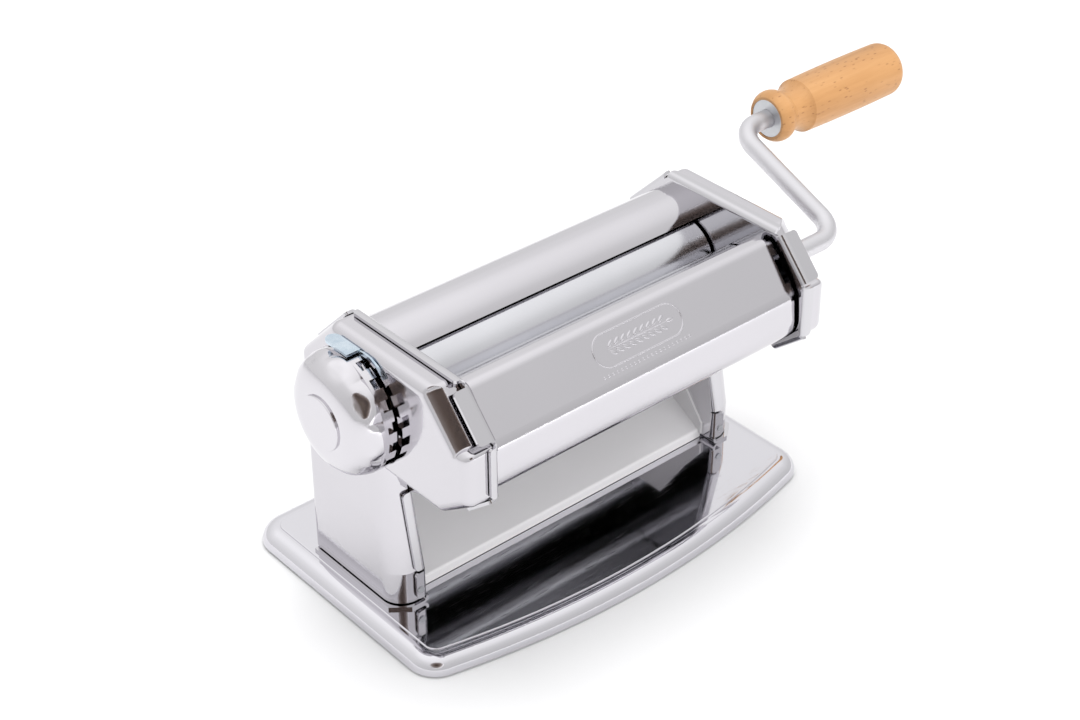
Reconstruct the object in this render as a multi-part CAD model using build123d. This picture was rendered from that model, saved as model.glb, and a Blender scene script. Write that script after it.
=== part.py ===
from build123d import *
import os
from math import acos, atan2, cos, degrees, hypot, pi, radians, sin, sqrt, tan

# Manual pasta roller, in millimetres. X runs along the rollers, -Y is the front, Z is up.
# The origin is on the table, at the middle of the base.

# --- driving dimensions -------------------------------------------------------------------
SHEET = 1.2  # side plates
COVER_SHEET = 0.8  # end covers and leg covers
PANEL_SHEET = 1.0  # front cover, rear cover and chute
BASE_SHEET = 1.2

PLATE_IN = 75.6  # inner face of a side plate, from the middle
PLATE_OUT = PLATE_IN + SHEET
COVER_FACE = 89.0  # outer face of an end cover or leg cover
GAP = 0.4  # between a cover and the flange beside it

ROLLER_R = 14.8
ROLLER_HALF = 74.6
AXIS_Z = 94.5
FRONT_Y = -32.0  # driven roller
REAR_Y = -2.0  # adjustable roller, at its closest setting
JOURNAL_R = 6.0
FIT = 0.05  # running clearance on a radius

GAP_TRAVEL = 2.0  # how far the rear roller moves back
KNOB_TURN = 150.0  # degrees for the whole travel

BASE_HALF = 99.7
BASE_REAR = 63.0
BASE_FRONT = -63.5
BASE_TOP = 8.2
BASE_STEP = 0.5  # how far the rim lies below the raised middle
BASE_RIM = 7.3  # width of the rim
BASE_FOOT_GAP = 1.0  # skirt's height over the table
BASE_ARC_R = 374.0
BASE_CORNER_R = 12.5
BASE_SHOULDER_R = 6.3

# side plate outline in (Y, Z): head above, leg below
HEAD_REAR_TOP = (13.5, 123.6)
HEAD_FRONT_TOP = (-49.0, 123.6)
HEAD_FRONT_BEND = (-65.0, 106.3)
HEAD_FRONT_FOOT = (-65.2, 82.4)
HEAD_UNDER = (-51.0, 70.6)
LEG_FRONT_TOP = (-15.0, 57.0)
LEG_FRONT_BEND = (-21.5, 24.0)
LEG_REAR_Y = 37.0
HEAD_REAR_LOW = (LEG_REAR_Y, 100.1)
BEND_R = 2.5

FOOT_OUT = 90.5
FOOT_REAR_Y = 31.0

GEAR_MODULE = 1.5
GEAR_TEETH = 20
GEAR_BACKLASH = 0.24
GEAR_X = (82.4, 87.2)
BORE_GAP = 0.01  # between a pressed-on piece and its shaft

CRANK_R = 4.0
CRANK_ELBOW_X = 130.0
CRANK_BEND_R = 11.0
GRIP_X = 150.2  # collar face of the grip
GRIP_LENGTH = 77.0
GRIP_Y = 28.6
GRIP_Z = 115.8
HEX_FLATS = 7.0
SOCKET_END = 63.0

KNOB_R = 24.2
KNOB_RING_X = (-95.0, -90.2)
KNOB_FACE_X = -106.5
KNOB_NOTCHES = 18


# --- helpers ------------------------------------------------------------------------------
def outline(points, x, radius=0.0):
    """A closed face through (Y, Z) points, on the plane at x."""
    face = make_face(Plane.YZ.offset(x) * Polyline(*points, close=True))
    return fillet(face.vertices(), radius) if radius else face


def slab(points, x_low, x_high, radius=0.0):
    """A flat plate of the outline, from x_low to x_high."""
    return extrude(outline(points, x_low, radius), amount=x_high - x_low, dir=(1, 0, 0))


def rod(y, z, x_low, x_high, radius):
    """A cylinder along X."""
    return Pos((x_low + x_high) / 2, y, z) * Rot(0, 90, 0) * Cylinder(radius, x_high - x_low)


def block(x_range, y_range, z_range):
    """A box between the given limits."""
    size = [high - low for low, high in (x_range, y_range, z_range)]
    middle = [(low + high) / 2 for low, high in (x_range, y_range, z_range)]
    return Pos(*middle) * Box(*size)


def spun(profile, y, z):
    """A solid of revolution about the X line through (y, z); profile holds (x, radius) points."""
    face = make_face(Polyline(*[(x, 0, r) for x, r in profile], close=True))
    return Pos(0, y, z) * revolve(face, axis=Axis.X)


def slot(y_low, y_high, z, x_low, x_high, radius):
    """A slot along Y with round ends, cut through along X."""
    ends = rod(y_low, z, x_low, x_high, radius) + rod(y_high, z, x_low, x_high, radius)
    return ends + block((x_low, x_high), (y_low, y_high), (z - radius, z + radius))


def bent_sheet(points, radii, thickness, x_low, x_high, side):
    """A sheet of one thickness that follows (Y, Z) points with rounded bends."""
    path = FilletPolyline(*points, radius=radii)
    profile = make_face(Plane.YZ.offset(x_low) * path.offset_2d(thickness, side=side))
    return extrude(profile, amount=x_high - x_low, dir=(1, 0, 0))


def mirrored(shape):
    """The same piece on the other side of the machine."""
    return mirror(shape, about=Plane.YZ)


def inset(points, distance):
    """The outline moved inward along every edge; distance is one number or one per edge."""
    count = len(points)
    widths = distance if isinstance(distance, list) else [distance] * count
    area = sum(
        points[i - 1][0] * points[i][1] - points[i][0] * points[i - 1][1] for i in range(count)
    )
    turn = 1 if area > 0 else -1
    lines = []
    for i in range(count):
        (y0, z0), (y1, z1) = points[i], points[(i + 1) % count]
        length = hypot(y1 - y0, z1 - z0)
        normal = (-(z1 - z0) / length * turn, (y1 - y0) / length * turn)
        lines.append((normal, normal[0] * y0 + normal[1] * z0 + widths[i]))
    corners = []
    for i in range(count):
        (a, p), (b, q) = lines[i - 1], lines[i]
        det = a[0] * b[1] - a[1] * b[0]
        corners.append(((p * b[1] - q * a[1]) / det, (a[0] * q - b[0] * p) / det))
    return corners


def flange(start, end, width, trim_start=0.0, trim_end=0.0, corner=0.0):
    """An outward flange of a right side plate along the edge from start to end.

    Outward is to the left of the direction of travel in the (Y, Z) plane. The free corners
    are rounded to the given radius.
    """
    length = hypot(end[0] - start[0], end[1] - start[1])
    along = ((end[0] - start[0]) / length, (end[1] - start[1]) / length)
    outward = (-along[1], along[0])
    inner_r = BEND_R - SHEET
    origin = (
        PLATE_IN,
        start[0] + along[0] * trim_start,
        start[1] + along[1] * trim_start,
    )
    plane = Plane(origin=origin, x_dir=(0, *outward), z_dir=(0, *along))
    lean = -1 if plane.y_dir.X < 0 else 1
    bend = -BEND_R
    diagonal = sqrt(0.5)
    lines = [
        Line((bend - 0.5, 0), (bend, 0)),
        ThreePointArc(
            (bend, 0),
            (bend + BEND_R * diagonal, lean * BEND_R * (1 - diagonal)),
            (0, lean * BEND_R),
        ),
        Line((0, lean * BEND_R), (0, lean * width)),
        Line((0, lean * width), (-SHEET, lean * width)),
        Line((-SHEET, lean * width), (-SHEET, lean * BEND_R)),
        ThreePointArc(
            (-SHEET, lean * BEND_R),
            (bend + inner_r * diagonal, lean * (BEND_R - inner_r * diagonal)),
            (bend, lean * SHEET),
        ),
        Line((bend, lean * SHEET), (bend - 0.5, lean * SHEET)),
        Line((bend - 0.5, lean * SHEET), (bend - 0.5, 0)),
    ]
    face = make_face([plane * line for line in lines])
    sheet = extrude(face, amount=length - trim_start - trim_end, dir=(0, *along))
    if not corner:
        return sheet
    edge_face = sheet.faces().sort_by(Axis.X)[-1]
    ends = [e for e in edge_face.edges() if abs(e.length - SHEET) < 0.01]
    return fillet(ends, corner)


def pressed_shell(points, x_open, x_face, side_r, face_r, thickness):
    """A pressed cover: a hollow slab, open at x_open, with rounded walls and face."""

    def form(shape_points, low, high, corner, edge):
        solid = slab(shape_points, low, high, corner)
        return fillet(solid.faces().sort_by(Axis.X)[-1].edges(), edge)

    outer = form(points, x_open, x_face, side_r, face_r)
    hollow = form(
        inset(points, thickness), x_open - 1, x_face - thickness, side_r - thickness, face_r - thickness
    )
    return outer - hollow


# --- base ---------------------------------------------------------------------------------
def base_outline(shrink):
    """The base's outline in plan, with its bowed front, moved inward by shrink."""
    half = BASE_HALF - shrink
    rear = BASE_REAR - shrink
    front = BASE_FRONT + shrink
    arc_r = BASE_ARC_R - shrink
    side_y = front + arc_r - sqrt(arc_r**2 - half**2)
    lines = [
        Line((-half, side_y), (-half, rear)),
        Line((-half, rear), (half, rear)),
        Line((half, rear), (half, side_y)),
        ThreePointArc((half, side_y), (0, front), (-half, side_y)),
    ]
    face = make_face(lines)
    return fillet(face.vertices(), BASE_CORNER_R - shrink)


def base_form(shrink, bottom, top, shoulder):
    solid = extrude(Pos(0, 0, bottom) * base_outline(shrink), amount=top - bottom)
    return fillet(solid.faces().sort_by(Axis.Z)[-1].edges(), shoulder)


FOOT_SPOTS = [(x, y) for x in (-83, 83) for y in (-37, 46)] + [(0, 0)]
FOOT_R = 7.0
RIVET_R = 2.0
FOOT_RIVETS = [(side * 84.5, y) for side in (-1, 1) for y in (-4, 20)]


def make_base_plate():
    """The pressed tray: a rounded rim round a slightly raised flat middle."""
    rim_top = BASE_TOP - BASE_STEP
    middle = extrude(Pos(0, 0, rim_top) * base_outline(BASE_RIM), amount=BASE_STEP)
    middle = fillet(middle.faces().sort_by(Axis.Z)[-1].edges(), 0.9 * BASE_STEP)
    tray = base_form(0, BASE_FOOT_GAP, rim_top, BASE_SHOULDER_R) + middle
    tray -= base_form(BASE_SHEET, -1, rim_top - BASE_SHEET, BASE_SHOULDER_R - BASE_SHEET)
    under = base_outline(BASE_RIM + BASE_SHEET)
    tray -= extrude(Pos(0, 0, rim_top - BASE_SHEET) * under, amount=BASE_STEP)
    for x, y in FOOT_RIVETS:
        tray -= Pos(x, y, BASE_TOP) * Cylinder(RIVET_R, 4 * BASE_SHEET)
    return tray


def make_rubber_feet():
    height = BASE_TOP - BASE_SHEET
    foot = Pos(0, 0, height / 2) * Cylinder(FOOT_R, height)
    foot = chamfer(foot.faces().sort_by(Axis.Z)[0].edges(), 0.6)
    return Compound([Pos(x, y, 0) * foot for x, y in FOOT_SPOTS])


# --- side plates --------------------------------------------------------------------------
TOP_FLANGE = 4.2
SLANT_FLANGE = 8.0
FRONT_FLANGE = 4.2
REAR_FLANGE = 5.0
LEG_FLANGE = 5.2
FLANGE_CORNER_R = 1.6
FOOT_CORNER = (7.0, 5.6)
BUSH_R = 8.0
ROD_Y = 20.0
ROD_Z = 82.0
ROD_R = 3.0
TIE_SPOTS = [(-52.5, 90.0), (26.0, 98.0), (28.0, 58.0)]
TIE_R = 3.0
TIE_THREAD_R = 2.0
TIE_NUT_FLATS = 7.0
TIE_NUT_HEIGHT = 3.2
LEG_RIVET_Z = 15.5
LEG_RIVET_R = 0.9
GUIDE_R = 2.0
GUIDE_SPOTS = [(11.0, 101.5), (11.0, 87.5)]


def make_side_plate():
    """The right side plate: one sheet, with flanges turned outward along its edges."""
    foot_z = BASE_TOP
    edges = [
        # start, end, flange width, trim at the start, trim at the end
        (HEAD_FRONT_TOP, HEAD_REAR_TOP, TOP_FLANGE, 2.2, 1.6),
        (HEAD_FRONT_BEND, HEAD_FRONT_TOP, SLANT_FLANGE, 1.4, 1.6),
        (HEAD_FRONT_FOOT, HEAD_FRONT_BEND, FRONT_FLANGE, 1.2, 1.4),
        (HEAD_UNDER, HEAD_FRONT_FOOT, FRONT_FLANGE, 0.0, 1.2),
        (HEAD_REAR_TOP, HEAD_REAR_LOW, REAR_FLANGE, 2.2, 4.0),
        (LEG_FRONT_BEND, LEG_FRONT_TOP, LEG_FLANGE, 0.6, 0.0),
        ((LEG_FRONT_BEND[0], foot_z + 3.2), LEG_FRONT_BEND, LEG_FLANGE, 0.0, 0.4),
    ]
    corners = [
        HEAD_FRONT_TOP,
        HEAD_REAR_TOP,
        HEAD_REAR_LOW,
        (LEG_REAR_Y, foot_z),
        (LEG_FRONT_BEND[0], foot_z),
        LEG_FRONT_BEND,
        LEG_FRONT_TOP,
        HEAD_UNDER,
        HEAD_FRONT_FOOT,
        HEAD_FRONT_BEND,
    ]
    b = BEND_R
    plate = slab(inset(corners, [b, b, 0.0, b, b, b, 0.0, b, b, b]), PLATE_IN, PLATE_OUT)
    for start, end, width, trim_start, trim_end in edges:
        plate += flange(start, end, width, trim_start, trim_end, FLANGE_CORNER_R)
    foot_rear = (FOOT_REAR_Y, foot_z)
    foot_front = (LEG_FRONT_BEND[0], foot_z)
    foot = flange(foot_rear, foot_front, FOOT_OUT - PLATE_IN)
    clip_y, clip_x = FOOT_CORNER[1], FOOT_CORNER[0]
    front_y = LEG_FRONT_BEND[0]
    clip = extrude(
        Plane.XY.offset(foot_z - 1)
        * make_face(
            Polyline(
                (FOOT_OUT - clip_x, front_y - 1),
                (FOOT_OUT + 1, front_y - 1),
                (FOOT_OUT + 1, front_y + clip_y),
                (FOOT_OUT, front_y + clip_y),
                (FOOT_OUT - clip_x, front_y),
                close=True,
            )
        ),
        amount=6,
    )
    plate += foot - clip
    plate -= rod(FRONT_Y, AXIS_Z, PLATE_IN - 1, PLATE_OUT + 1, BUSH_R)
    plate -= slot(REAR_Y, REAR_Y + GAP_TRAVEL, AXIS_Z, PLATE_IN - 1, PLATE_OUT + 1, BUSH_R + 0.6)
    plate -= slot(ROD_Y, ROD_Y + GAP_TRAVEL, ROD_Z, PLATE_IN - 1, PLATE_OUT + 1, ROD_R + 0.6)
    for y, z in TIE_SPOTS:
        plate -= rod(y, z, PLATE_IN - 1, PLATE_OUT + 1, TIE_THREAD_R)
    for y, z in GUIDE_SPOTS:
        plate -= rod(y, z, PLATE_IN - 1, PLATE_OUT + 1, GUIDE_R)
    for x, y in FOOT_RIVETS:
        plate -= Pos(x, y, foot_z) * Cylinder(RIVET_R, 6)
    plate -= Pos(PLATE_OUT + 2.2, LEG_FRONT_BEND[0], LEG_RIVET_Z) * Rot(90, 0, 0) * Cylinder(
        LEG_RIVET_R, 6
    )
    return plate


def make_foot_rivets():
    low = BASE_TOP - BASE_SHEET
    high = BASE_TOP + SHEET
    rivets = []
    for x, y in FOOT_RIVETS:
        shank = Pos(x, y, (low + high) / 2) * Cylinder(RIVET_R, high - low)
        under = Pos(x, y, low - 0.5) * Cylinder(RIVET_R * 1.8, 1.0)
        rivets.append(shank + under)
    return Compound(rivets)


def make_leg_rivets():
    """Small rivets through each leg's front flange."""
    shank = Rot(90, 0, 0) * Cylinder(LEG_RIVET_R, SHEET)
    head = Pos(0, -SHEET / 2 - 0.2, 0) * Rot(90, 0, 0) * Cylinder(LEG_RIVET_R * 1.7, 0.4)
    rivet = shank + head
    y = LEG_FRONT_BEND[0] + SHEET / 2
    return Compound([Pos(s * (PLATE_OUT + 2.2), y, LEG_RIVET_Z) * rivet for s in (-1, 1)])


def make_tie_rods():
    rods = []
    for y, z in TIE_SPOTS:
        body = rod(y, z, -PLATE_IN, PLATE_IN, TIE_R)
        body += rod(y, z, -PLATE_OUT - 4, PLATE_OUT + 4, TIE_THREAD_R)
        rods.append(body)
    return Compound(rods)


def make_tie_nuts():
    nuts = []
    for side in (-1, 1):
        for y, z in TIE_SPOTS:
            nut = hexagon(0, 0, 0, TIE_NUT_HEIGHT, TIE_NUT_FLATS)
            nut -= rod(0, 0, -1, TIE_NUT_HEIGHT + 1, TIE_THREAD_R)
            x = PLATE_OUT if side > 0 else -PLATE_OUT - TIE_NUT_HEIGHT
            nuts.append(Pos(x, y, z) * nut)
    return Compound(nuts)


# --- covers -------------------------------------------------------------------------------
LEG_TOP = 71.0
CAP_FOOT_Z = 71.6
STEP_Z = 104.4
STEP_IN = 7.4  # set-back of the end cover's sloping front
LEG_COVER_GAP = 0.6  # between a leg cover and the foot under it
LEG_FRONT_R = 9.0
LEG_REAR_R = 4.0


def cap_points():
    """The end cover's outline, inside the side plate's flanges."""
    clear = SHEET + GAP
    head = inset(
        [HEAD_REAR_TOP, HEAD_FRONT_TOP, HEAD_FRONT_BEND, HEAD_FRONT_FOOT, HEAD_UNDER, HEAD_REAR_LOW],
        [clear, STEP_IN, clear, clear, 0.0, clear],
    )
    rear_top, front_top, _, front_foot, _, rear_low = head
    front_y = head[2][0]
    slope = (HEAD_FRONT_TOP[1] - HEAD_FRONT_BEND[1]) / (HEAD_FRONT_TOP[0] - HEAD_FRONT_BEND[0])
    step_y = front_top[0] - (front_top[1] - STEP_Z) / slope
    under_y = HEAD_UNDER[0] + 3.4
    rear_y = LEG_REAR_Y - 3.0
    return [
        rear_top,
        front_top,
        (step_y, STEP_Z),
        (HEAD_FRONT_BEND[0] + clear, STEP_Z),
        (HEAD_FRONT_FOOT[0] + clear, front_foot[1]),
        (under_y, CAP_FOOT_Z),
        (rear_y, CAP_FOOT_Z),
        (rear_y, HEAD_REAR_TOP[0] + HEAD_REAR_TOP[1] - clear * sqrt(2) - rear_y),
    ]


def make_end_cover(hole_y, hole_r):
    """A right end cover, pressed from sheet, with one round hole for a shaft."""
    shell = pressed_shell(cap_points(), PLATE_OUT + GAP, COVER_FACE, 4.2, 4.0, COVER_SHEET)
    return shell - rod(hole_y, AXIS_Z, COVER_FACE - 6, COVER_FACE + 1, hole_r)


def make_leg_cover():
    """A right leg cover, with a large round front corner and open to the side plate."""
    low_z = BASE_TOP + SHEET + LEG_COVER_GAP
    front_low = LEG_FRONT_BEND[0] + SHEET + GAP
    lean = (LEG_FRONT_TOP[0] - LEG_FRONT_BEND[0]) / (LEG_FRONT_TOP[1] - LEG_FRONT_BEND[1])
    front_top = front_low + lean * (LEG_TOP - LEG_FRONT_BEND[1])
    rear_y = LEG_REAR_Y - 3.0

    def form(shrink, x_low, x_high):
        points = [
            (front_low + shrink, low_z - shrink),
            (front_low + shrink, LEG_FRONT_BEND[1]),
            (front_top + shrink, LEG_TOP - shrink),
            (rear_y - shrink, LEG_TOP - shrink),
            (rear_y - shrink, low_z - shrink),
        ]
        solid = slab(points, x_low, x_high)
        face = solid.faces().sort_by(Axis.X)[-1]
        front = [e for e in face.edges() if e.center().Y < front_top + shrink - 0.1]
        solid = fillet(front, LEG_FRONT_R - shrink)
        face = solid.faces().sort_by(Axis.X)[-1]
        rear = [e for e in face.edges() if e.center().Y > rear_y - shrink - 0.1]
        return fillet(rear, LEG_REAR_R - shrink)

    outer = form(0.0, PLATE_OUT + GAP, COVER_FACE)
    hollow = form(COVER_SHEET, PLATE_OUT - 1, COVER_FACE - COVER_SHEET)
    return outer - hollow


COVER_HALF = PLATE_IN
REAR_ARC = (8.1, 101.2)
REAR_ARC_R = 16.3
REAR_WALL_Y = 34.5
REAR_WALL_LOW = 41.0


def make_rear_cover():
    """Rolled sheet over the rear roller, down the slope and down the back."""
    start = radians(146)
    low = (REAR_ARC[0] + REAR_ARC_R * cos(start), REAR_ARC[1] + REAR_ARC_R * sin(start))
    slope = REAR_ARC_R * sqrt(0.5)
    slope_start = (REAR_ARC[0] + slope, REAR_ARC[1] + slope)
    drop = REAR_WALL_Y - slope_start[0]
    bend = (REAR_WALL_Y, slope_start[1] - drop)
    middle = radians(95)
    top = (REAR_ARC[0] + REAR_ARC_R * cos(middle), REAR_ARC[1] + REAR_ARC_R * sin(middle))
    bend_r = 7.0
    cut = bend_r * tan(radians(22.5))
    before = (bend[0] - cut * sqrt(0.5), bend[1] + cut * sqrt(0.5))
    after = (bend[0], bend[1] - cut)
    centre = (bend[0] - bend_r, bend[1] - cut)
    knee = (
        centre[0] + bend_r * cos(radians(22.5)),
        centre[1] + bend_r * sin(radians(22.5)),
    )
    path = Wire(
        [
            ThreePointArc(low, top, slope_start),
            Line(slope_start, before),
            ThreePointArc(before, knee, after),
            Line(after, (REAR_WALL_Y, REAR_WALL_LOW)),
        ]
    )
    profile = make_face(
        Plane.YZ.offset(-COVER_HALF) * path.offset_2d(PANEL_SHEET, side=Side.RIGHT)
    )
    return extrude(profile, amount=2 * COVER_HALF, dir=(1, 0, 0))


FRONT_PROFILE = [
    (-37.2, 111.0),
    (-38.2, 118.4),
    (-45.0, 118.9),
    (-60.4, 100.4),
    (-61.8, 85.0),
    (-46.5, 69.6),
    (-41.0, 70.2),
]
FRONT_RADII = [3.4, 4.6, 9.0, 12.0, 3.0]
FRONT_HALF = 72.8
NOTCH_HALF = 74.2
NOTCH_Z = 99.0


def make_front_cover():
    """Folded sheet in front of the driven roller; its upper part is shorter than its lower."""
    sheet = bent_sheet(
        FRONT_PROFILE, FRONT_RADII, PANEL_SHEET, -NOTCH_HALF, NOTCH_HALF, Side.LEFT
    )
    for side in (-1, 1):
        near, far = sorted((side * FRONT_HALF, side * (NOTCH_HALF + 1)))
        sheet -= block((near, far), (-70, -30), (NOTCH_Z, 125))
    return sheet


RAIL_DROP = 1.4
RAIL_SLOT_HALF = 1.7
SPACER_X = (-55, 0, 55)
SPACER_R = 2.5


def make_accessory_rail():
    """A second folded sheet behind the front cover that runs up to both side plates."""
    line = inset(FRONT_PROFILE, PANEL_SHEET + RAIL_DROP)
    top, bend, low = line[2:5]
    path = [(top[0] + 3.0, top[1] - 0.4), top, bend, low, (low[0] + 9.0, low[1] - 9.4)]
    sheet = bent_sheet(
        path, [2.0, 8.0, 8.0], PANEL_SHEET, -COVER_HALF, COVER_HALF, Side.LEFT
    )
    middle = ((top[0] + bend[0]) / 2, (top[1] + bend[1]) / 2)
    tilt = degrees(atan2(top[1] - bend[1], top[0] - bend[0]))
    for side in (-1, 1):
        cut = Pos(side * (COVER_HALF - 1.3), *middle) * Rot(tilt, 0, 0) * Box(2 * RAIL_SLOT_HALF, 12, 8)
        sheet -= cut
    return sheet


def make_spacers():
    """Studs that hold the front cover off the rail."""
    slope = FRONT_PROFILE[2:4]
    along = (slope[0][0] - slope[1][0], slope[0][1] - slope[1][1])
    length = hypot(*along)
    normal = (-along[1] / length, along[0] / length)
    middle = ((slope[0][0] + slope[1][0]) / 2, (slope[0][1] + slope[1][1]) / 2)
    start = [middle[0] - normal[0] * PANEL_SHEET, middle[1] - normal[1] * PANEL_SHEET]
    studs = []
    for x in SPACER_X:
        plane = Plane(origin=(x, *start), z_dir=(0, -normal[0], -normal[1]))
        studs.append(extrude(plane * Circle(SPACER_R), amount=RAIL_DROP))
    return Compound(studs)


# --- chute --------------------------------------------------------------------------------
CHUTE_HALF = PLATE_IN
CHUTE_FOLD = (-13.2, 12.2)
CHUTE_SLOPE = 29.0
LIP_LOW = BASE_TOP + 0.3


def make_chute():
    """The sloping panel under the rollers, with a front lip and upright side wings."""
    rear_y = REAR_WALL_Y - 2 * PANEL_SHEET - 0.5
    rise = tan(radians(CHUTE_SLOPE))
    rear = (rear_y, CHUTE_FOLD[1] + (rear_y - CHUTE_FOLD[0]) * rise)
    panel = bent_sheet(
        [(CHUTE_FOLD[0] - 0.3, LIP_LOW), CHUTE_FOLD, rear, (rear[0], rear[1] + 12)],
        [1.6, 1.6],
        PANEL_SHEET,
        -CHUTE_HALF,
        CHUTE_HALF,
        Side.RIGHT,
    )
    wing = [
        (CHUTE_FOLD[0] - 1.4, CHUTE_FOLD[1] - 1.4),
        (CHUTE_FOLD[0] - 1.4, CHUTE_FOLD[1] + 3.8),
        (CHUTE_FOLD[0] + 8.2, CHUTE_FOLD[1] + 16.2),
        (CHUTE_FOLD[0] + 21.2, CHUTE_FOLD[1] + 36.8),
        (rear_y - 1.0, CHUTE_FOLD[1] + 36.8),
        (rear_y - 1.0, rear[1] - 0.7),
    ]
    for side in (-1, 1):
        near, far = sorted((side * (CHUTE_HALF - PANEL_SHEET), side * CHUTE_HALF))
        panel += slab(wing, near, far)
    return panel


CLAMP_R = 4.5
CLAMP_Z = 19.0
CLAMP_Y = 48.0
CLAMP_SHEET = 3.0


def make_clamp_bracket():
    """An angle riveted to the base behind the machine; the table clamp's bar hooks in its hole."""
    upright = block((-16, 16), (CLAMP_Y, CLAMP_Y + CLAMP_SHEET), (BASE_TOP, CLAMP_Z + 10))
    corners = upright.edges().filter_by(Axis.Y).sort_by(Axis.Z)[-2:]
    upright = fillet(corners, 7)
    foot = block((-16, 16), (CLAMP_Y - 14, CLAMP_Y), (BASE_TOP, BASE_TOP + CLAMP_SHEET))
    bracket = upright + foot
    hole = Pos(0, CLAMP_Y, CLAMP_Z) * Rot(90, 0, 0) * Cylinder(CLAMP_R, 4 * CLAMP_SHEET)
    return bracket - hole


# --- rollers and gears --------------------------------------------------------------------
JOURNAL_LEFT = -84.0
JOURNAL_RIGHT = 87.6


def make_roller(y):
    body = rod(y, AXIS_Z, -ROLLER_HALF, ROLLER_HALF, ROLLER_R)
    body = chamfer(body.edges().filter_by(GeomType.CIRCLE), 0.4)
    return body + rod(y, AXIS_Z, JOURNAL_LEFT, JOURNAL_RIGHT, JOURNAL_R)


def hexagon(y, z, x_low, x_high, flats):
    shape = Plane.YZ.offset(x_low) * Pos(y, z) * RegularPolygon(flats / 2, 6, major_radius=False)
    return extrude(shape, amount=x_high - x_low, dir=(1, 0, 0))


def make_front_roller():
    return make_roller(FRONT_Y) - hexagon(
        FRONT_Y, AXIS_Z, SOCKET_END - 1.0, JOURNAL_RIGHT + 1, HEX_FLATS + 0.2
    )


def gear_points():
    """One gear's outline about its own axis: involute flanks, with a tooth on +Y."""
    pitch_r = GEAR_MODULE * GEAR_TEETH / 2
    base_r = pitch_r * cos(radians(20))
    tip_r = pitch_r + GEAR_MODULE
    root_r = pitch_r - 1.25 * GEAR_MODULE
    tooth_angle = (pi * GEAR_MODULE / 2 - GEAR_BACKLASH) / pitch_r

    def involute(radius):
        angle = acos(min(1.0, base_r / radius))
        return tan(angle) - angle

    radii = [base_r + (tip_r - base_r) * (i / 4) ** 1.5 for i in range(5)]
    half = [tooth_angle / 2 + involute(pitch_r) - involute(r) for r in radii]
    points = []
    for tooth in range(GEAR_TEETH):
        middle = 2 * pi * tooth / GEAR_TEETH
        flank = [(root_r, half[0])] + list(zip(radii, half))
        points += [(r * cos(middle - a), r * sin(middle - a)) for r, a in flank]
        points += [(r * cos(middle + a), r * sin(middle + a)) for r, a in reversed(flank)]
    return points


def make_gear(y, turn):
    face = make_face(Plane.YZ.offset(GEAR_X[0]) * Polyline(*gear_points(), close=True))
    gear = extrude(face, amount=GEAR_X[1] - GEAR_X[0], dir=(1, 0, 0))
    gear -= rod(0, 0, GEAR_X[0] - 1, GEAR_X[1] + 1, JOURNAL_R + BORE_GAP)
    return Pos(0, y, AXIS_Z) * Rot(turn, 0, 0) * gear


def make_bushes(y, plate_face, hole_r):
    """A flanged bush at each end of a roller; plate_face is the outer face it is pressed in."""
    inner = ROLLER_HALF + 0.3
    bushes = []
    for side in (-1, 1):
        near, far = sorted((side * inner, side * (plate_face + 0.8)))
        sleeve = rod(y, AXIS_Z, near, far, hole_r)
        lip = sorted((side * plate_face, side * (plate_face + 0.8)))
        sleeve += rod(y, AXIS_Z, *lip, hole_r + 1.0)
        sleeve -= rod(y, AXIS_Z, near - 1, far + 1, JOURNAL_R + FIT)
        bushes.append(sleeve)
    return Compound(bushes)


# --- rear roller carriage -----------------------------------------------------------------
CARRIAGE_X = (PLATE_OUT + 0.4, PLATE_OUT + 3.4)
CAM_PIN_RADIUS = 11.0  # where the pin sits, from the knob's axis
CAM_PIN_R = 1.5
CAM_PIN_REACH = 0.1  # past the cam's outer face, clear of the knob's bush
CAM_X = (-86.6, -84.4)
CAM_R = 16.5
SPINDLE_R = 5.0


def make_carriage_plate():
    """The right carriage plate, which slides on the outside of the side plate."""
    points = [
        (-13, 86),
        (-13, 103),
        (-6, 106.5),
        (13, 106.5),
        (17, 103),
        (17, 92),
        (25, 88),
        (25, 77),
        (14, 77),
    ]
    plate = slab(points, *CARRIAGE_X)
    plate -= rod(REAR_Y, AXIS_Z, CARRIAGE_X[0] - 1, CARRIAGE_X[1] + 1, BUSH_R)
    plate -= rod(ROD_Y, ROD_Z, CARRIAGE_X[0] - 1, CARRIAGE_X[1] + 1, 2.4)
    for y, z in GUIDE_SPOTS:
        plate -= slot(
            y - GAP_TRAVEL, y, z, CARRIAGE_X[0] - 1, CARRIAGE_X[1] + 1, GUIDE_R + 0.15
        )
    return plate


def make_carriage_rod():
    middle = rod(ROD_Y, ROD_Z, -CARRIAGE_X[0], CARRIAGE_X[0], ROD_R)
    return middle + rod(ROD_Y, ROD_Z, -CARRIAGE_X[1] - 0.4, CARRIAGE_X[1] + 0.4, 2.4)


def make_cam_pin():
    return rod(REAR_Y + CAM_PIN_RADIUS, AXIS_Z, CAM_X[0] - CAM_PIN_REACH, -CARRIAGE_X[1], CAM_PIN_R)


def make_guide_pins():
    """Shouldered pins on the side plates that the carriage plates slide on."""
    pins = []
    for side in (-1, 1):
        for y, z in GUIDE_SPOTS:
            stem = sorted((side * PLATE_IN, side * (CARRIAGE_X[1] + 0.4)))
            head = sorted((side * (CARRIAGE_X[1] + 0.4), side * (CARRIAGE_X[1] + 1.1)))
            pins.append(rod(y, z, *stem, GUIDE_R) + rod(y, z, *head, GUIDE_R + 1.6))
    return Compound(pins)


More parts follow.
